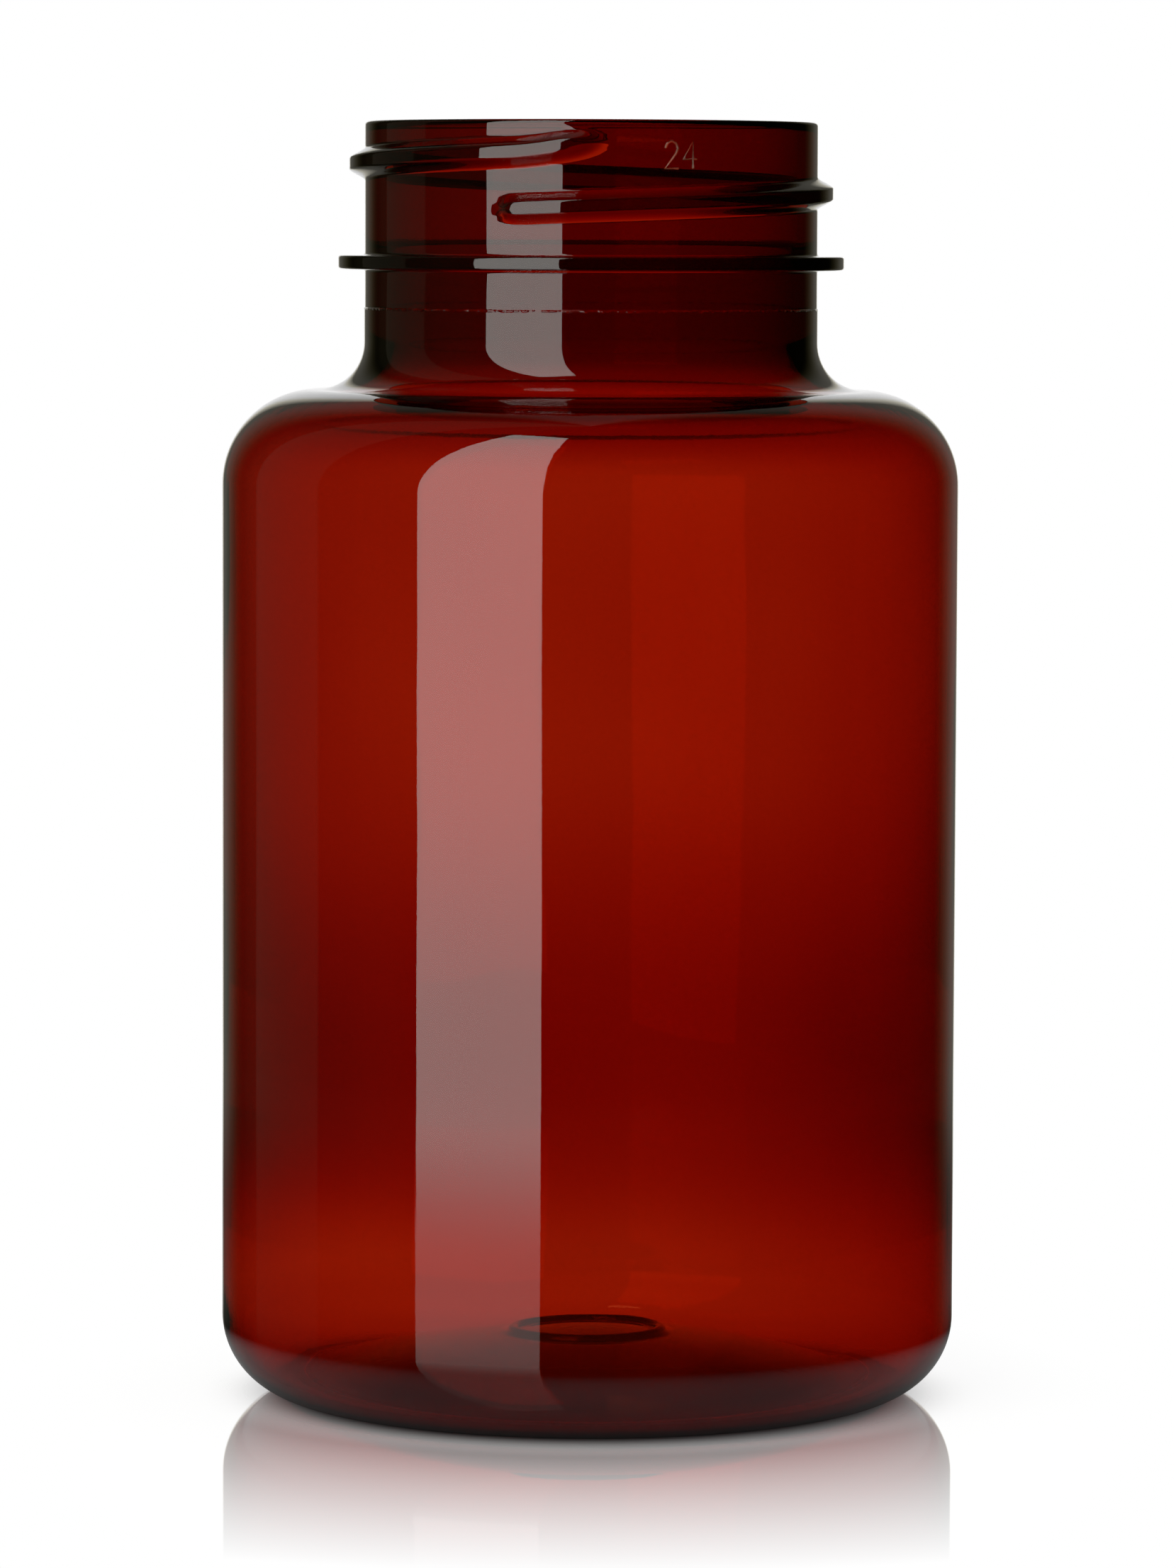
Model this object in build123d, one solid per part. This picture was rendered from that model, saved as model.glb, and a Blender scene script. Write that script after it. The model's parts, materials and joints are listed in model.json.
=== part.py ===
from build123d import *
from math import asin, cos, degrees, pi, radians, sin, sqrt, tan
import os

# Wide-mouth bottle for tablets, stretch-blown in one piece from clear amber PET and open at the mouth.
# Millimetres. +Z is up, and the origin is on the bottle's axis, in the plane that it stands on.
# Each outline is drawn in the XZ plane, as (distance from the axis, height), and spun round the axis.

# Overall sizes
overall_height = 98.3
body_radius = 28.35

# Walls: the neck is injected and stays thick, thickest under the bead, and the rest is blown thin
neck_wall = 1.5
lower_neck_wall = 1.95
shoulder_wall = 1.0
body_wall = 0.85
heel_wall = 0.85
centre_wall = 1.5

# Screw finish, 38-400: a single right-hand thread above a transfer bead
neck_radius = 17.4
rim_round = 0.3
mouth_round = 0.8
thread_height = 1.2
thread_pitch = 25.4 / 6
thread_turns = 1.035
thread_first_depth = 2.3
thread_crest_width = 0.95
thread_flank_angle = 30
thread_runout_angle = 7
thread_start_direction = -109
bead_reach = 2.05
bead_thickness = 1.05
bead_round = 0.25
bead_clearance = 2.4
seat_depth = 0.4

# Neck under the bead: the thread mould meets the bottle mould in a small step
parting_depth = 3.0
parting_step = 0.05
lower_neck = 2.6
throat_depth = 9.8
throat_fall = 2.0

# Shoulder: the neck flares out level, and the shoulder rounds over to the straight wall
neck_flare = 3.65
shoulder_fall = 7.25
inner_flare_height = 6.25

# Base: rounded heel, flat standing ring, and a domed push-up with a recess for the gate mark
heel_radius = 6.2
standing_ring_width = 0.9
push_up = 3.6
gate_recess_radius = 5.7
gate_recess_depth = 0.4
gate_ring_round = 0.45
gate_mark_radius = 1.5
gate_mark_height = 0.7

# Radii that follow
mouth_radius = neck_radius - neck_wall
bead_radius = neck_radius + bead_reach
lower_neck_radius = neck_radius + parting_step
throat_radius = lower_neck_radius - lower_neck_wall
flare_radius = lower_neck_radius + neck_flare
inner_body_radius = body_radius - body_wall
heel_centre_radius = body_radius - heel_radius
ring_inner_radius = heel_centre_radius - standing_ring_width

# Heights that follow, from the rim down
thread_root_width = thread_crest_width + 2 * thread_height * tan(radians(thread_flank_angle))
thread_rise = thread_turns * thread_pitch
thread_low = overall_height - thread_first_depth - thread_rise
bead_top = thread_low - thread_root_width / 2 - bead_clearance
parting_level = bead_top - bead_thickness - parting_depth
flare_top = parting_level - lower_neck
throat_top = overall_height - throat_depth
shoulder_top = flare_top - neck_flare
inner_shoulder_top = shoulder_top - shoulder_wall
inner_flare_top = inner_shoulder_top + inner_flare_height
wall_top = shoulder_top - shoulder_fall
inner_base_top = push_up + centre_wall


def dome_sphere(edge_radius, rise):
    """Radius of the sphere that a dome with this edge and rise is cut from."""
    return (edge_radius**2 + rise**2) / (2 * rise)


def dome_arc(edge_radius, edge_height, top_height):
    """Section of a dome, from its edge up to the axis."""
    sphere = dome_sphere(edge_radius, top_height - edge_height)
    half_angle = degrees(asin(edge_radius / sphere))
    return CenterArc((0, top_height - sphere), sphere, 90 - half_angle, half_angle)


def outer_outline():
    """Outside of the wall, from the mouth's edge down to the middle of the base."""
    Polyline(
        (mouth_radius, overall_height),
        (neck_radius, overall_height),
        (neck_radius, parting_level),
        (lower_neck_radius, parting_level),
        (lower_neck_radius, flare_top),
    )
    CenterArc((flare_radius, flare_top), neck_flare, 180, 90)
    EllipticalCenterArc((flare_radius, wall_top), body_radius - flare_radius, shoulder_fall)
    Line((body_radius, wall_top), (body_radius, heel_radius))
    CenterArc((heel_centre_radius, heel_radius), heel_radius, 270, 90)
    Line((heel_centre_radius, 0), (ring_inner_radius, 0))
    dome_arc(ring_inner_radius, 0, push_up)


def inner_outline():
    """Inside of the wall, from the middle of the base up to the mouth's edge."""
    dome_arc(heel_centre_radius, heel_wall, inner_base_top)
    EllipticalCenterArc(
        (heel_centre_radius, heel_radius),
        inner_body_radius - heel_centre_radius,
        heel_radius - heel_wall,
        start_angle=270,
    )
    Line((inner_body_radius, heel_radius), (inner_body_radius, wall_top))
    EllipticalCenterArc(
        (flare_radius, wall_top),
        inner_body_radius - flare_radius,
        inner_shoulder_top - wall_top,
    )
    EllipticalCenterArc(
        (flare_radius, inner_flare_top),
        flare_radius - throat_radius,
        inner_flare_height,
        start_angle=180,
    )
    Polyline(
        (throat_radius, inner_flare_top),
        (throat_radius, throat_top - throat_fall),
        (mouth_radius, throat_top),
        (mouth_radius, overall_height),
    )


def wall():
    """The blown wall, from the rim, rounder inside than outside, to the middle of the base."""
    with BuildSketch(Plane.XZ) as section:
        with BuildLine():
            outer_outline()
            Line((0, push_up), (0, inner_base_top))
            inner_outline()
        make_face()
        fillet(section.vertices().group_by(Axis.Y)[-1].sort_by(Axis.X)[0], mouth_round)
        fillet(section.vertices().group_by(Axis.Y)[-1].sort_by(Axis.X)[-1], rim_round)
    return revolve(section.sketch, Axis.Z)


def bead():
    """Transfer bead round the neck, with its foot seated in the wall."""
    foot_radius = neck_radius - seat_depth
    middle = ((foot_radius + bead_radius) / 2, bead_top - bead_thickness / 2)
    with BuildSketch(Plane.XZ) as section:
        with Locations(middle):
            Rectangle(bead_radius - foot_radius, bead_thickness)
        fillet(section.vertices().group_by(Axis.X)[-1], bead_round)
    return revolve(section.sketch, Axis.Z)


def thread_section(angle, height):
    """Cross-section of the thread at an angle round from its low end, with its foot seated in the wall."""
    along = radians(angle)
    place = Plane(
        origin=(neck_radius * cos(along), neck_radius * sin(along), thread_low + thread_pitch * angle / 360),
        x_dir=(cos(along), sin(along), 0),
        z_dir=(-sin(along), cos(along), thread_pitch / (2 * pi * neck_radius)),
    )
    crest = thread_crest_width / 2
    foot = crest + (height + seat_depth) * tan(radians(thread_flank_angle))
    corners = [(-seat_depth, -foot), (height, -crest), (height, crest), (-seat_depth, foot)]
    return (place * Polygon(*corners, align=None)).face()


def thread():
    """Thread ridge: a swept turn, and at each end a run-out that falls into the neck."""
    path = Helix(thread_pitch, thread_rise, neck_radius, center=(0, 0, thread_low))
    ridge = sweep(thread_section(0, thread_height), path=path, is_frenet=True)
    for end, beyond in ((0, -thread_runout_angle), (360 * thread_turns, thread_runout_angle)):
        full = thread_section(end, thread_height)
        sunk = thread_section(end + beyond, -seat_depth / 2)
        ridge += loft([full, sunk], ruled=True)
    return Rot(Z=thread_start_direction) * ridge


def gate_recess():
    """Round recess under the push-up, less the mark that the moulding gate leaves in it."""
    sphere = dome_sphere(ring_inner_radius, push_up)
    edge = push_up - sphere + sqrt(sphere**2 - gate_recess_radius**2)
    roof = edge + gate_recess_depth
    from_floor = (Align.CENTER, Align.CENTER, Align.MIN)
    to_roof = (Align.CENTER, Align.CENTER, Align.MAX)
    recess = Cylinder(gate_recess_radius, roof, align=from_floor)
    mark = Pos(Z=roof) * Cylinder(gate_mark_radius, gate_mark_height, align=to_roof)
    return recess - mark


def gate_ring():
    """Low round ridge on the inside of the base, over the edge of the gate recess."""
    sphere = dome_sphere(heel_centre_radius, inner_base_top - heel_wall)
    edge = inner_base_top - sphere + sqrt(sphere**2 - gate_recess_radius**2)
    return Pos(Z=edge) * Torus(gate_recess_radius, gate_ring_round)


def bottle():
    """The whole bottle as one solid."""
    return wall() + gate_ring() + bead() + thread() - gate_recess()


os.makedirs("parts", exist_ok=True)
body = bottle()
body.label = "bottle"
export_step(body, "parts/bottle.step")
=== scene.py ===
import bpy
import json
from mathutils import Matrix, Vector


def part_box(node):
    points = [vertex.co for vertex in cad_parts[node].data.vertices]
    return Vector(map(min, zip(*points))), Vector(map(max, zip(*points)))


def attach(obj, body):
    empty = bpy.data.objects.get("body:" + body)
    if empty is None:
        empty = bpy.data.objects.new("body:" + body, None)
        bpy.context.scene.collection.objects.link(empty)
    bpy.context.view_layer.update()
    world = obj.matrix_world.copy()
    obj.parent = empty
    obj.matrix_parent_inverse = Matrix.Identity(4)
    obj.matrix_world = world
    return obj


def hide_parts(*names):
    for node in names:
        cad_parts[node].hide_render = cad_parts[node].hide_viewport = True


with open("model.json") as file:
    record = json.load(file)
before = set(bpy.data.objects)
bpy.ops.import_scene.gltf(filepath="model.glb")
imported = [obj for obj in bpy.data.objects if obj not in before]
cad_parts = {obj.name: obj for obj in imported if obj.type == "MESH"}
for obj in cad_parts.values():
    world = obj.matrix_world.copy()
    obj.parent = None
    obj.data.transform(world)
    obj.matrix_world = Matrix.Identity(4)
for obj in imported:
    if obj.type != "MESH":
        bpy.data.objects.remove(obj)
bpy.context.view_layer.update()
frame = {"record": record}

import json
from math import cos, exp, pi, radians, sin, sqrt, tan

import bpy
from mathutils import Matrix, Vector

MM = 0.001

# ---------------------------------------------------------------- sizes
# The bottle's height and width are the frame's, and the mouth is the record's bore mount.

high_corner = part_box("bottle")[1]
mounts = {mount["name"]: mount for mount in frame["record"]["mounts"]}
rim_height = high_corner[2]
body_radius = high_corner[0]
mouth_radius = mounts["mouth_bore"]["dims"]["r_mm"] * MM

neck_radius = 17.4 * MM
rim_round = 0.3 * MM
mouth_round = 0.8 * MM
thread_height = 1.2 * MM
thread_pitch = 25.4 / 6 * MM
thread_turns = 1.035
thread_first_depth = 2.3 * MM
thread_crest_half = 0.45 * MM
thread_root_half = 1.2 * MM
thread_start_direction = -109
thread_end_lift = 0.45 * MM
thread_end_taper = 0.4
bead_radius = 19.45 * MM
bead_depth = 10.25 * MM
bead_thickness = 1.05 * MM
bead_round = 0.2 * MM
bead_foot_round = 0.25 * MM
number_direction = 22.7
number_depth = 3.65 * MM
number_stroke = 0.18 * MM
parting_depth = 3.0 * MM
parting_step = 0.05 * MM

shoulder_depth = 20.55 * MM
shoulder_wall = 1.0 * MM
shoulder_round = 7.25 * MM
neck_flare = 3.65 * MM
inner_flare_height = 6.25 * MM
thin_body_wall = 0.74 * MM
thick_body_wall = 1.13 * MM
uneven_wall = 0.12 * MM
thin_side_wall = 0.16 * MM
drawn_wall = 0.02 * MM
thickest_height = 22.5 * MM
thinning_above = 17 * MM
thinning_below = 8 * MM
heel_radius = 6.2 * MM
heel_wall = 0.85 * MM
standing_ring_width = 0.9 * MM
ring_inner_round = 2.5 * MM
push_up = 3.6 * MM
centre_wall = 1.5 * MM
lower_neck_wall = 1.95 * MM
throat_top = 88.5 * MM
throat_bottom = 86.5 * MM
gate_ring_round = 0.45 * MM
gate_recess_radius = 5.7 * MM
gate_recess_depth = 0.4 * MM
recess_round = 0.12 * MM
gate_mark_radius = 1.5 * MM
gate_mark_height = 0.7 * MM

bead_top = rim_height - bead_depth
bead_bottom = bead_top - bead_thickness
parting_level = bead_bottom - parting_depth
shoulder_top = rim_height - shoulder_depth
lower_neck_radius = neck_radius + parting_step
heel_centre_radius = body_radius - heel_radius
ring_inner_radius = heel_centre_radius - standing_ring_width

STEPS_AROUND = 224


# ---------------------------------------------------------------- node helpers


class Value:
    """A number socket in a node tree. Arithmetic on it adds the Math nodes."""

    def __init__(self, tree, socket):
        self.tree = tree
        self.socket = socket

    def math(self, operation, *others, clamp=False):
        inputs = dict(enumerate((self, *others)))
        return self.tree.add("ShaderNodeMath", {"operation": operation, "use_clamp": clamp}, inputs)

    def __add__(self, other):
        return self.math("ADD", other)

    def __sub__(self, other):
        return self.math("SUBTRACT", other)

    def __mul__(self, other):
        return self.math("MULTIPLY", other)

    def __truediv__(self, other):
        return self.math("DIVIDE", other)

    def __rsub__(self, other):
        return self.tree.number(other).math("SUBTRACT", self)

    __radd__ = __add__
    __rmul__ = __mul__

    def smooth(self, start, end):
        """0 before start, 1 after end, and an even curve between them."""
        settings = {"interpolation_type": "SMOOTHSTEP"}
        return self.tree.add(
            "ShaderNodeMapRange", settings, {"Value": self, "From Min": start, "From Max": end}
        )


class Tree:
    """A node tree that adds any node from its type, its settings and its sockets' values or links."""

    def __init__(self, nodes_of):
        self.tree = nodes_of

    def add(self, kind, settings=None, inputs=None, output=0):
        node = self.tree.nodes.new(kind)
        for name, value in (settings or {}).items():
            setattr(node, name, value)
        for name, value in (inputs or {}).items():
            self.feed(node.inputs[name], value)
        result = Value(self, node.outputs[output] if node.outputs else None)
        result.node = node
        return result

    def feed(self, socket, value):
        if isinstance(value, Value):
            self.tree.links.new(value.socket, socket)
        else:
            socket.default_value = value

    def number(self, value):
        node = self.add("ShaderNodeValue")
        node.socket.default_value = value
        return node

    def part(self, value, output):
        """Another output of the node that made a value."""
        return Value(self, value.node.outputs[output])


# ---------------------------------------------------------------- outline of the wall


def arc(centre, wide, high, start, end, steps):
    """Points of an upright ellipse's arc, from one angle to another in degrees."""
    angles = [radians(start + (end - start) * step / steps) for step in range(steps + 1)]
    return [(centre[0] + wide * cos(a), centre[1] + high * sin(a)) for a in angles]


def run(start, end, steps):
    """Evenly spaced points of a straight stretch, without its ends."""
    shares = [step / steps for step in range(1, steps)]
    return [(start[0] + (end[0] - start[0]) * s, start[1] + (end[1] - start[1]) * s) for s in shares]


def dome(edge, top_height, start_radius, end_radius, steps):
    """Points of a shallow dome between two radii. Its edge is a point, and its top is on the axis."""
    rise = top_height - edge[1]
    sphere = (edge[0] ** 2 + rise**2) / (2 * rise)
    radii = [start_radius + (end_radius - start_radius) * step / steps for step in range(steps + 1)]
    return [(r, top_height - sphere + sqrt(sphere**2 - r**2)) for r in radii]


def rounded(before, corner, after, size, steps=4):
    """Points of the arc that rounds one corner of the outline."""
    into = Vector(before) - Vector(corner)
    out = Vector(after) - Vector(corner)
    into.normalize()
    out.normalize()
    half = into.angle(out) / 2
    reach = min(size / tan(half), size * 4)
    centre = Vector(corner) + (into + out).normalized() * (reach / cos(half))
    first = Vector(corner) + into * reach - centre
    last = Vector(corner) + out * reach - centre
    turn = first.angle_signed(last)
    points = []
    for step in range(steps + 1):
        angle = -turn * step / steps
        points.append((
            centre[0] + first[0] * cos(angle) - first[1] * sin(angle),
            centre[1] + first[0] * sin(angle) + first[1] * cos(angle),
        ))
    return points


def outer_outline():
    """Outside of the wall, from the middle of the base up to the rim, as (radius, height) points."""
    ring_edge = (ring_inner_radius, 0)
    recess_edge = dome(ring_edge, push_up, gate_recess_radius, gate_recess_radius, 1)[0]
    roof = recess_edge[1] + gate_recess_depth
    mark_tip = roof - gate_mark_height
    mark_corner = (gate_mark_radius, mark_tip)
    mark_foot = (gate_mark_radius, roof)
    roof_edge = (gate_recess_radius, roof)
    outside_recess = (2 * gate_recess_radius, recess_edge[1])
    outline = [(0, mark_tip)]
    outline += rounded((0, mark_tip), mark_corner, mark_foot, 0.2 * MM)
    outline += rounded(mark_corner, mark_foot, roof_edge, 0.15 * MM)
    outline += run(mark_foot, roof_edge, 4)
    outline += rounded(mark_foot, roof_edge, recess_edge, recess_round)
    outline += rounded(roof_edge, recess_edge, outside_recess, recess_round)
    outline += dome(ring_edge, push_up, gate_recess_radius + 0.6 * MM, ring_inner_radius - 1.2 * MM, 16)
    inside_ring = outline[-1]
    outline += rounded(inside_ring, ring_edge, (heel_centre_radius, 0), ring_inner_round, 6)
    outline += arc((heel_centre_radius, heel_radius), heel_radius, heel_radius, 270, 360, 24)
    wall_top = shoulder_top - shoulder_round
    flare_radius = lower_neck_radius + neck_flare
    outline += run((body_radius, heel_radius), (body_radius, wall_top), 16)
    outline += arc((flare_radius, wall_top), body_radius - flare_radius, shoulder_round, 0, 90, 28)
    outline += arc((flare_radius, shoulder_top + neck_flare), neck_flare, neck_flare, 270, 180, 18)[1:]
    outline += [(lower_neck_radius, parting_level - 0.08 * MM), (lower_neck_radius, parting_level)]
    outline += [(neck_radius, parting_level + 0.05 * MM), (neck_radius, parting_level + 0.15 * MM)]
    below_bead = outline[-1]
    low_foot = (neck_radius, bead_bottom)
    low_edge = (bead_radius, bead_bottom)
    high_edge = (bead_radius, bead_top)
    high_foot = (neck_radius, bead_top)
    outline += rounded(below_bead, low_foot, low_edge, bead_foot_round)
    outline += rounded(low_foot, low_edge, high_edge, bead_round)
    outline += rounded(low_edge, high_edge, high_foot, bead_round)
    outline += rounded(high_edge, high_foot, (neck_radius, rim_height), bead_foot_round)
    thread_bottom = bead_top + 1.2 * MM
    thread_top = rim_height - 0.75 * MM
    outline += [(neck_radius, thread_bottom)]
    outline += run((neck_radius, thread_bottom), (neck_radius, thread_top), 84)
    outline += [(neck_radius, thread_top)]
    rim_outside = (neck_radius, rim_height)
    outline += rounded(high_foot, rim_outside, (mouth_radius, rim_height), rim_round, 6)
    return outline


def blown_radius(height):
    """Inner radius of the body, whose blown wall is thickest a little above the heel."""
    fall = (height - thickest_height) / (thinning_above if height > thickest_height else thinning_below)
    return body_radius - thin_body_wall - (thick_body_wall - thin_body_wall) * exp(-fall * fall)


def inner_outline():
    """Inside of the wall, from the rim down to the middle of the base."""
    inner_shoulder = shoulder_top - shoulder_wall
    wall_top = shoulder_top - shoulder_round
    flare_radius = lower_neck_radius + neck_flare
    flare_top = inner_shoulder + inner_flare_height
    inner_base = push_up + centre_wall
    throat_radius = lower_neck_radius - lower_neck_wall
    rim_inside = (mouth_radius, rim_height)
    outline = rounded((neck_radius, rim_height), rim_inside, (mouth_radius, flare_top), mouth_round, 8)
    outline += run(rim_inside, (mouth_radius, throat_top), 6)
    outline += [(mouth_radius, throat_top), (throat_radius, throat_bottom)]
    outline += arc((flare_radius, flare_top), flare_radius - throat_radius, inner_flare_height, 180, 270, 20)
    outline += arc(
        (flare_radius, wall_top), blown_radius(wall_top) - flare_radius, inner_shoulder - wall_top, 90, 0, 22
    )[1:]
    heights = [height for radius, height in run((0, wall_top), (0, heel_radius), 32)]
    outline += [(blown_radius(height), height) for height in heights]
    outline += arc(
        (heel_centre_radius, heel_radius),
        blown_radius(heel_radius) - heel_centre_radius,
        heel_radius - heel_wall,
        360,
        270,
        20,
    )[:-2]
    edge = (heel_centre_radius, heel_wall)
    ring_outside = gate_recess_radius + gate_ring_round
    ring_inside = gate_recess_radius - gate_ring_round
    outline += dome(edge, inner_base, heel_centre_radius - 1.0 * MM, ring_outside, 18)
    ridge = dome(edge, inner_base, gate_recess_radius, gate_recess_radius, 1)[0]
    outline += arc(ridge, gate_ring_round, gate_ring_round, 8, 172, 10)
    outline += dome(edge, inner_base, ring_inside, 0, 7)
    return outline


def outline_object(points):
    """A line of loose points and edges that the spinning tree reads in order."""
    mesh = bpy.data.meshes.new("bottle_outline")
    edges = [(index, index + 1) for index in range(len(points) - 1)]
    mesh.from_pydata([(radius, 0, height) for radius, height in points], edges, [])
    piece = bpy.data.objects.new("bottle", mesh)
    bpy.context.collection.objects.link(piece)
    return piece


# ---------------------------------------------------------------- spinning tree


def thread_relief(tree, turn, height, sizes):
    """How far the thread stands out of the neck, at an angle round it in turns and at a height."""
    start = sizes["Thread Start"]
    pitch = sizes["Thread Pitch"]
    turns = sizes["Thread Turns"]
    from_start = (turn - start).math("FRACT")
    climb = (height - sizes["Thread Low"]) / pitch - from_start
    whole = climb.math("ROUND")
    place = from_start + whole
    before = (0 - place).math("MAXIMUM", 0.0)
    after = (place - turns).math("MAXIMUM", 0.0)
    lift = place.smooth(turns - 0.035, turns + 0.02) * sizes["End Lift"]
    aside = (climb - whole) * pitch - lift
    around = 2 * pi * sizes["Neck Radius"]
    beyond = (before + after * sizes["End Taper"]) * around
    away = (aside * aside + beyond * beyond).math("SQRT")
    span = sizes["Root Half"] - sizes["Crest Half"]
    straight = ((away - sizes["Crest Half"]) / span).math("MINIMUM", 1.0).math("MAXIMUM", 0.0)
    fall = straight * 0.65 + away.smooth(sizes["Crest Half"], sizes["Root Half"]) * 0.35
    return (1 - fall) * sizes["Thread Height"]


def wall_unevenness(tree, turn, height):
    """Swells and fine upright draw lines of the blown wall's inside, and a side that is thinner low down."""
    angle = turn * (2 * pi)
    east = angle.math("COSINE") * body_radius
    north = angle.math("SINE") * body_radius
    place = tree.add("ShaderNodeCombineXYZ", inputs={"X": east, "Y": north, "Z": height})
    drawn = tree.add("ShaderNodeCombineXYZ", inputs={"X": east, "Y": north, "Z": height * 0.06})
    swells = tree.add("ShaderNodeTexNoise", inputs={"Vector": place, "Scale": 42.0, "Detail": 1.0})
    lines = tree.add("ShaderNodeTexNoise", inputs={"Vector": drawn, "Scale": 260.0, "Detail": 2.0})
    fade = height.smooth(6 * MM, 16 * MM) * (1 - height.smooth(66 * MM, 76 * MM))
    low = height.smooth(5 * MM, 9 * MM) * (1 - height.smooth(14 * MM, 24 * MM))
    thin_side = (0.5 - angle.math("COSINE") * 0.5) * low * thin_side_wall
    return ((swells - 0.5) * (2 * uneven_wall) + (lines - 0.5) * (2 * drawn_wall)) * fade + thin_side


def spinning_tree(points, sizes, material):
    """Geometry Nodes: spins the outline round the axis, and raises the thread on the outside of the neck."""
    group = bpy.data.node_groups.new("spun_wall", "GeometryNodeTree")
    group.interface.new_socket("Outline", in_out="INPUT", socket_type="NodeSocketGeometry")
    group.interface.new_socket("Steps Around", in_out="INPUT", socket_type="NodeSocketInt")
    for name in sizes:
        group.interface.new_socket(name, in_out="INPUT", socket_type="NodeSocketFloat")
    group.interface.new_socket("Wall", in_out="OUTPUT", socket_type="NodeSocketGeometry")
    tree = Tree(group)
    given = tree.add("NodeGroupInput")
    steps = tree.part(given, "Steps Around")
    values = {name: tree.part(given, name) for name in sizes}

    grid = tree.add("GeometryNodeMeshGrid", inputs={"Vertices X": steps + 1, "Vertices Y": len(points)})
    index = tree.add("GeometryNodeInputIndex")
    column = (index / len(points)).math("FLOOR")
    row = index - column * len(points)
    turn = column / steps
    spot = tree.add(
        "GeometryNodeSampleIndex",
        {"data_type": "FLOAT_VECTOR", "domain": "POINT"},
        {"Geometry": tree.part(given, "Outline"), "Value": tree.add("GeometryNodeInputPosition"), "Index": row},
    )
    spot_parts = tree.add("ShaderNodeSeparateXYZ", inputs={0: spot})
    radius = tree.part(spot_parts, "X")
    height = tree.part(spot_parts, "Z")
    outside = radius.math("GREATER_THAN", values["Neck Radius"] - 0.1 * MM)
    above_bead = height.math("GREATER_THAN", values["Bead Top"] + 0.3 * MM)
    relief = thread_relief(tree, turn, height, values) * outside * above_bead
    unevenness = wall_unevenness(tree, turn, height) * row.math("GREATER_THAN", values["Inner Row"] - 0.5)
    full = radius + relief + unevenness
    angle = turn * (2 * pi)
    place = tree.add(
        "ShaderNodeCombineXYZ",
        inputs={"X": full * angle.math("COSINE"), "Y": full * angle.math("SINE"), "Z": height},
    )
    moved = tree.add("GeometryNodeSetPosition", inputs={"Geometry": grid, "Position": place})
    closed = tree.add("GeometryNodeMergeByDistance", inputs={"Geometry": moved, "Distance": 0.001 * MM})
    smooth = tree.add("GeometryNodeSetShadeSmooth", inputs={"Geometry": closed})
    real = tree.add("GeometryNodeRealizeInstances", inputs={"Geometry": smooth})
    finished = tree.add("GeometryNodeSetMaterial", inputs={"Geometry": real, "Material": material})
    tree.add("NodeGroupOutput", inputs={"Wall": finished})
    return group


def bake_tree(piece, group, inputs):
    """Runs a tree on a piece with its inputs set, and keeps the result as the piece's plain mesh."""
    modifier = piece.modifiers.new("tree", "NODES")
    modifier.node_group = group
    for item in group.interface.items_tree:
        if item.item_type == "SOCKET" and item.in_out == "INPUT" and item.name in inputs:
            modifier[item.identifier] = inputs[item.name]
    depsgraph = bpy.context.evaluated_depsgraph_get()
    mesh = bpy.data.meshes.new_from_object(piece.evaluated_get(depsgraph))
    piece.modifiers.remove(modifier)
    piece.data = mesh


def face_outwards(piece):
    """Turns a closed mesh's faces outwards, if the volume that they hold reads negative."""
    mesh = piece.data
    mesh.calc_loop_triangles()
    volume = 0
    for triangle in mesh.loop_triangles:
        a, b, c = (mesh.vertices[i].co for i in triangle.vertices)
        volume += a.dot(b.cross(c))
    if volume < 0:
        mesh.flip_normals()


# ---------------------------------------------------------------- materials


def new_material(name):
    """A material and its bare tree."""
    material = bpy.data.materials.new(name)
    material.use_nodes = True
    material.node_tree.nodes.clear()
    return material, Tree(material.node_tree)


amber_colour = (0.823, 0.33, 0.0, 1)
amber_density = 4800.0
refraction_of_pet = 1.575
wave_relief = 0.005
streak_relief = 0.003
line_relief = 0.06
speck_relief = 0.04


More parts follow.
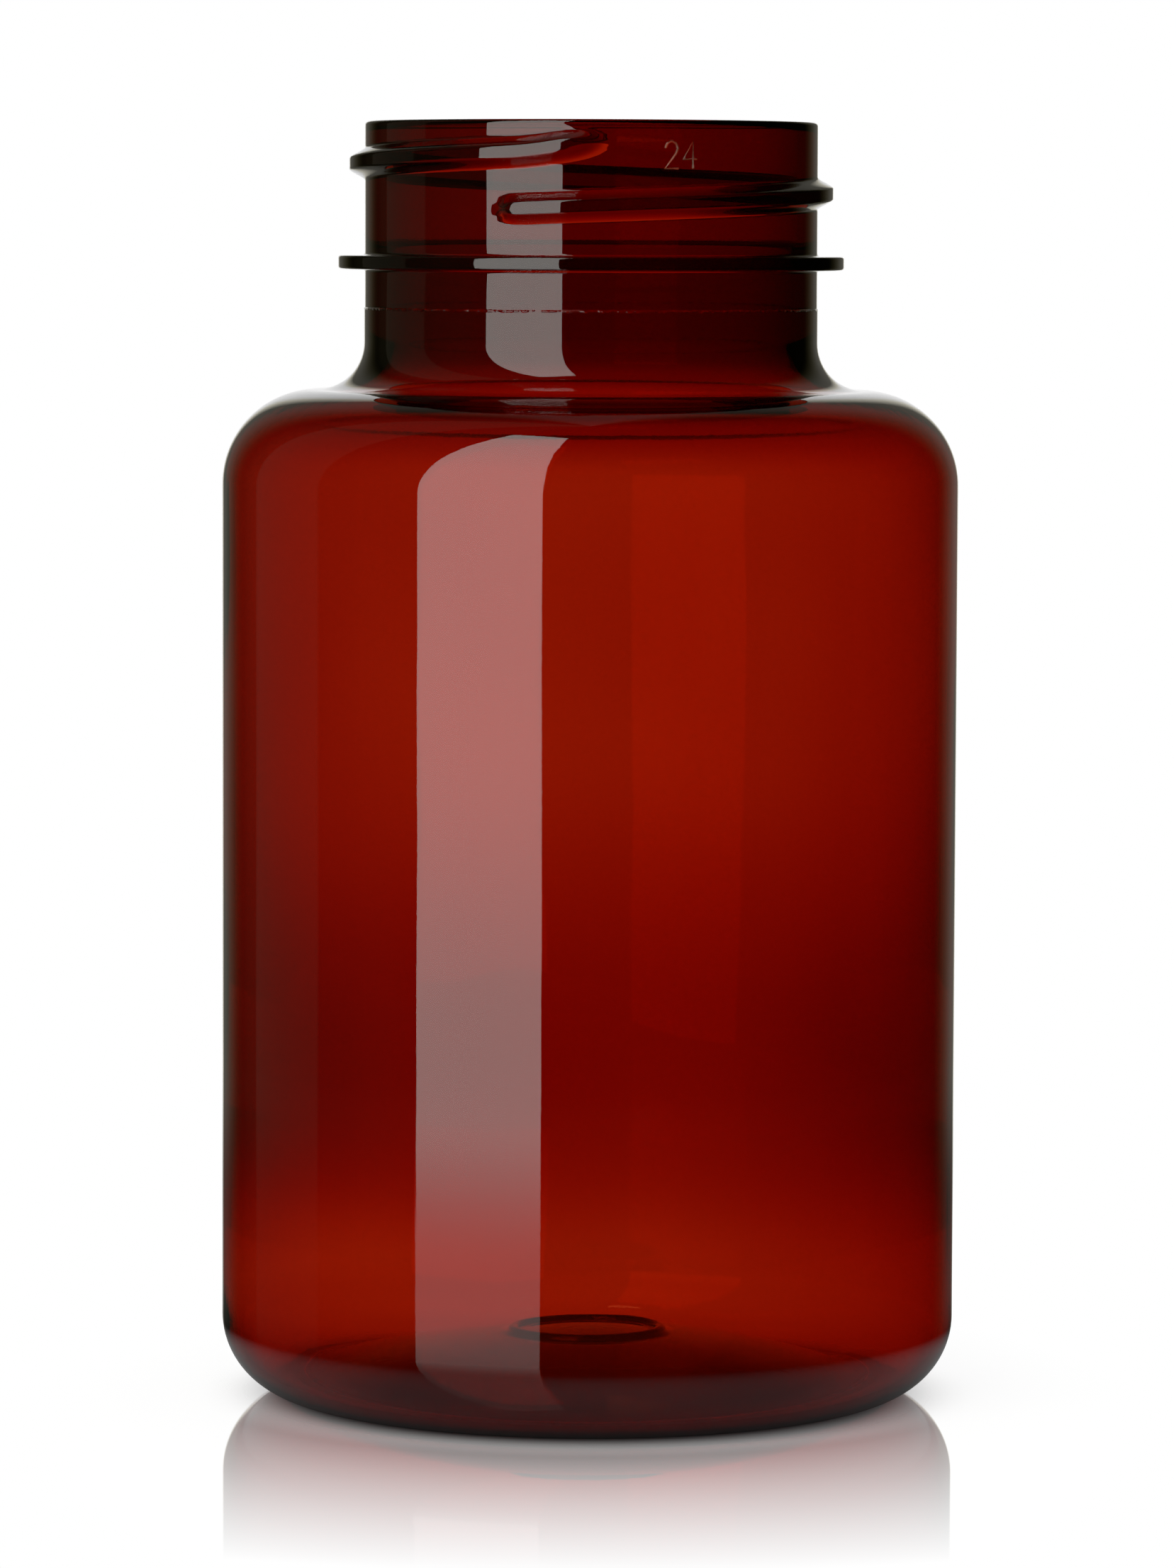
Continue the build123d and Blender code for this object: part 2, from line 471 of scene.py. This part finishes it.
def amber_plastic():
    """Clear amber PET: it bends light, takes it off by depth, and has draw marks, a mould line and specks."""
    material, tree = new_material("amber_pet")
    where = tree.part(tree.add("ShaderNodeTexCoord"), "Object")
    stretched = tree.add("ShaderNodeMapping", inputs={"Vector": where, "Scale": (900, 900, 22)})
    streaks = tree.add("ShaderNodeTexNoise", inputs={"Vector": stretched, "Scale": 1.0, "Detail": 3.0})
    waves = tree.add("ShaderNodeTexNoise", inputs={"Vector": where, "Scale": 70.0, "Detail": 1.0})
    grain = tree.add("ShaderNodeTexNoise", inputs={"Vector": where, "Scale": 1500.0, "Detail": 2.0})
    height = tree.part(tree.add("ShaderNodeSeparateXYZ", inputs={0: where}), "Z")
    off_line = (height - parting_level + (grain - 0.5) * (0.25 * MM)).math("ABSOLUTE")
    line = (1 - off_line.smooth(0.02 * MM, 0.1 * MM)) * grain.smooth(0.35, 0.6)
    cells = tree.add("ShaderNodeTexVoronoi", inputs={"Vector": where, "Scale": 240.0})
    rare = tree.part(tree.add("ShaderNodeSeparateColor", inputs={0: tree.part(cells, "Color")}), "Red")
    specks = (1 - cells.smooth(0.012, 0.03)) * rare.math("GREATER_THAN", 0.93)
    relief = waves * wave_relief + streaks * streak_relief + line * line_relief + specks * speck_relief
    bump = tree.add("ShaderNodeBump", inputs={"Height": relief * MM, "Strength": 1.0, "Distance": 1.0})
    shader = tree.add(
        "ShaderNodeBsdfPrincipled",
        inputs={
            "Base Color": (1, 1, 1, 1),
            "Roughness": 0.015,
            "IOR": refraction_of_pet,
            "Transmission Weight": 1.0,
            "Normal": bump,
        },
    )
    depth = tree.add("ShaderNodeVolumeAbsorption", inputs={"Color": amber_colour, "Density": amber_density})
    tree.add("ShaderNodeOutputMaterial", inputs={"Surface": shader, "Volume": depth})
    return material


def mirrored(tree, path):
    """1 for a ray that last bounced off a gloss surface, and 0 for a seen or refracted one."""
    return tree.part(path, "Is Glossy Ray") * (1 - tree.part(path, "Is Transmission Ray"))


fade_start = 31 * MM
fade_length = 44 * MM
# Distances from the axis over which the painted shade under the base gives way to the plain table.
painted_shade_span = (22 * MM, 31 * MM)
painted_heel_glow_span = (32 * MM, 46 * MM)


def table_material():
    """White gloss table: near the bottle it takes the real shadow and the mirror image, with painted shade
    under the base and a painted glow round it; in the bottle's reflections it carries painted shade and light,
    and it fades to white.
    """
    material, tree = new_material("white_table")
    path = tree.add("ShaderNodeLightPath")
    bounced = mirrored(tree, path)
    where = tree.part(tree.add("ShaderNodeTexCoord"), "Object")
    distance = tree.add("ShaderNodeVectorMath", {"operation": "LENGTH"}, {0: where}, output="Value")
    spot = tree.add("ShaderNodeSeparateXYZ", inputs={0: where})
    aside = (tree.part(spot, "X").math("ABSOLUTE") - body_radius - MM).math("MAXIMUM", 0.0)
    behind = tree.part(spot, "Y").math("MAXIMUM", 0.0)
    away = (distance + aside * 2 + behind * 0.8 - fade_start) / fade_length
    fade = away.math("MINIMUM", 1.0).math("MAXIMUM", 0.0)
    # Painted shade: under the base the table's colour is darkened to 0.25, its glow is dropped and less of it
    # is mirror.
    outside_painted_shade = distance.smooth(*painted_shade_span)
    diffuse_with_painted_shade = tree.add("ShaderNodeBsdfDiffuse", inputs={"Color": 0.25 + outside_painted_shade * 0.75})
    # Painted light: a steady glow stands in for part of the light on the table near the bottle, so its real
    # shadow shows only weakly.
    painted_glow = tree.add("ShaderNodeEmission", inputs={"Strength": 1.06})
    matt = tree.add("ShaderNodeMixShader", inputs={"Fac": outside_painted_shade * 0.55, 1: diffuse_with_painted_shade, 2: painted_glow})
    # Painted shade in reflections: seen from the bottle, the table's mirror is darkened, to about a third
    # within 110 mm and to a few hundredths at the base.
    far = distance.smooth(110 * MM, 225 * MM) * 0.63 + 0.37
    near = distance.smooth(30 * MM, 70 * MM) * 0.9 + 0.1
    mirror_with_painted_shade = 1 - bounced * (1 - far * near)
    mirror = tree.add("ShaderNodeBsdfGlossy", inputs={"Color": mirror_with_painted_shade, "Roughness": 0.02})
    # Painted light in reflections: seen from the bottle, the table within reach of the heel is a fifth matt,
    # with its painted glow, which lightens the heel's reflection.
    outside_heel_glow = distance.smooth(*painted_heel_glow_span)
    share = (0.4 + outside_painted_shade * 0.34) * (1 - bounced) + (0.8 + outside_heel_glow * 0.2) * bounced
    gloss = tree.add("ShaderNodeMixShader", inputs={"Fac": share, 1: matt, 2: mirror})
    white = tree.add("ShaderNodeEmission", inputs={"Strength": 1.0})
    surface = tree.add("ShaderNodeMixShader", inputs={"Fac": fade * (1 - bounced), 1: gloss, 2: white})
    tree.add("ShaderNodeOutputMaterial", inputs={"Surface": surface})
    return material


# ---------------------------------------------------------------- the bottle


def build_bottle(material):
    """The whole wall as one closed mesh, with the thread raised on it."""
    outside = outer_outline()
    points = outside + inner_outline()
    piece = outline_object(points)
    thread_low = rim_height - thread_first_depth - thread_turns * thread_pitch
    sizes = {
        "Neck Radius": neck_radius,
        "Bead Top": bead_top,
        "Thread Low": thread_low,
        "Thread Pitch": thread_pitch,
        "Thread Turns": thread_turns,
        "Thread Start": thread_start_direction / 360,
        "Thread Height": thread_height,
        "Crest Half": thread_crest_half,
        "Root Half": thread_root_half,
        "End Lift": thread_end_lift,
        "End Taper": thread_end_taper,
        "Inner Row": float(len(outside)),
    }
    group = spinning_tree(points, sizes, material)
    bake_tree(piece, group, {"Steps Around": STEPS_AROUND, **sizes})
    face_outwards(piece)
    piece.data.name = "bottle_wall"
    return piece


def build_number(material):
    """Raised plain number of the mould's cavity, curved on to the neck between the rim and the thread."""
    two = [(0, 1.5), (0.13, 1.85), (0.5, 2.05), (0.87, 1.85), (1.0, 1.5), (0.85, 1.1), (0, 0), (1.05, 0)]
    four = [(0.8, 0), (0.8, 2.05), (0, 0.7), (1.1, 0.7)]
    curve = bpy.data.curves.new("cavity_number", "CURVE")
    curve.dimensions = "3D"
    curve.bevel_depth = number_stroke / 2
    curve.bevel_resolution = 3
    curve.use_fill_caps = True
    for digit, start in ((two, -1.3), (four, 0.15)):
        spline = curve.splines.new("POLY")
        spline.points.add(len(digit) - 1)
        for point, (across, up) in zip(spline.points, digit):
            angle = radians(number_direction - 90) + (start + across) * MM / neck_radius
            height = rim_height - number_depth + up * MM
            point.co = (neck_radius * cos(angle), neck_radius * sin(angle), height, 1)
    strokes = bpy.data.objects.new("number_strokes", curve)
    bpy.context.collection.objects.link(strokes)
    depsgraph = bpy.context.evaluated_depsgraph_get()
    mesh = bpy.data.meshes.new_from_object(strokes.evaluated_get(depsgraph))
    bpy.data.objects.remove(strokes)
    mesh.materials.clear()
    mesh.materials.append(material)
    piece = bpy.data.objects.new("cavity_number", mesh)
    bpy.context.collection.objects.link(piece)
    return piece


amber = amber_plastic()
bottle_wall = build_bottle(amber)
bottle_wall.name = "bottle_wall"
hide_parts("bottle")
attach(bottle_wall, "root")
cavity_number = build_number(amber)
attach(cavity_number, "root")


# ---------------------------------------------------------------- stage, light and camera


def build_table():
    """Round white table top, centred under the bottle."""
    steps = 96
    reach = 225 * MM
    turns = [2 * pi * step / steps for step in range(steps)]
    rim = [(reach * cos(turn), reach * sin(turn), 0) for turn in turns]
    mesh = bpy.data.meshes.new("table")
    mesh.from_pydata(rim, [], [tuple(range(steps))])
    mesh.materials.append(table_material())
    table = bpy.data.objects.new("table", mesh)
    bpy.context.collection.objects.link(table)


warm_white = (1.0, 0.97, 0.92)
room_tint = (1.0, 0.85, 0.3, 1)
room_light = 0.004
front_glow = 0.14
reflector_light = 0.05
left_light = 0.025


def softbox(name, direction, distance, height, width, tall, radiance):
    """A rectangular softbox that faces the bottle from a direction round it, in degrees from the front."""
    lamp = bpy.data.lights.new(name, "AREA")
    lamp.shape = "RECTANGLE"
    lamp.size = width
    lamp.size_y = tall
    lamp.energy = radiance * pi * width * tall
    lamp.color = warm_white
    holder = bpy.data.objects.new(name, lamp)
    angle = radians(direction)
    place = Vector((distance * sin(angle), -distance * cos(angle), height))
    target = Vector((0, 0, height))
    facing = (target - place).to_track_quat("-Z", "Y")
    holder.matrix_world = Matrix.Translation(place) @ facing.to_matrix().to_4x4()
    bpy.context.collection.objects.link(holder)


def build_world():
    """White behind the bottle, and a dark warm room round it with a faint reflector at its left."""
    world = bpy.data.worlds.new("studio")
    bpy.context.scene.world = world
    world.use_nodes = True
    world.node_tree.nodes.clear()
    tree = Tree(world.node_tree)
    path = tree.add("ShaderNodeLightPath")
    where = tree.part(tree.add("ShaderNodeTexCoord"), "Generated")
    direction = tree.add("ShaderNodeSeparateXYZ", inputs={0: where})
    side = tree.part(direction, "X").math("ARCTAN2", tree.part(direction, "Y"))
    up = tree.part(direction, "Z")
    around = side.math("ABSOLUTE")
    screen = side.smooth(-0.28, -0.12) * (1 - side.smooth(0.09, 0.25)) * (1 - up.smooth(0.45, 0.6))
    glow = (1 - around.smooth(0.3, 0.75)) * front_glow
    reflector = side.smooth(-1.53, -1.5) * (1 - side.smooth(-0.93, -0.9)) * reflector_light
    left = side.smooth(-2.5, -1.9) * (1 - side.smooth(-0.9, -0.6)) * left_light
    white = tree.part(path, "Is Camera Ray").math("MAXIMUM", tree.part(path, "Is Diffuse Ray"))
    through = tree.part(path, "Is Transmission Ray") * (1 - around.smooth(0.12, 0.5) * 0.4)
    white = white.math("MAXIMUM", through).math("MAXIMUM", screen)
    dim = glow + reflector + left + room_light
    neutral = white.math("MAXIMUM", dim * 5).math("MINIMUM", 1.0)
    tint = tree.add(
        "ShaderNodeMix", {"data_type": "RGBA"}, {0: neutral, 6: room_tint, 7: (1, 1, 1, 1)}, output=2
    )
    strength = white.math("MAXIMUM", dim)
    light = tree.add("ShaderNodeBackground", inputs={"Color": tint, "Strength": strength})
    tree.add("ShaderNodeOutputWorld", inputs={"Surface": light})


camera_place = (0, -0.547, 0.0909)
camera_tilt = pi / 2 - 0.07956
camera_pan = 0.00016
camera_roll = 0.0038


def build_camera():
    """A long lens a little above the bottle's shoulder, looking slightly down."""
    camera = bpy.data.cameras.new("camera")
    camera.sensor_fit = "VERTICAL"
    camera.sensor_height = 36
    camera.lens = 162.8
    camera.clip_end = 20
    holder = bpy.data.objects.new("camera", camera)
    place = Matrix.Translation(camera_place)
    pan = Matrix.Rotation(camera_pan, 4, "Z")
    tilt = Matrix.Rotation(camera_tilt, 4, "X")
    roll = Matrix.Rotation(camera_roll, 4, "Z")
    holder.matrix_world = place @ pan @ tilt @ roll
    bpy.context.collection.objects.link(holder)
    bpy.context.scene.camera = holder


build_table()
softbox("left_softbox", direction=-34.0, distance=0.7, height=0.85, width=0.504, tall=2.7, radiance=2.8)
build_world()
build_camera()
bpy.context.scene.view_settings.view_transform = "Standard"
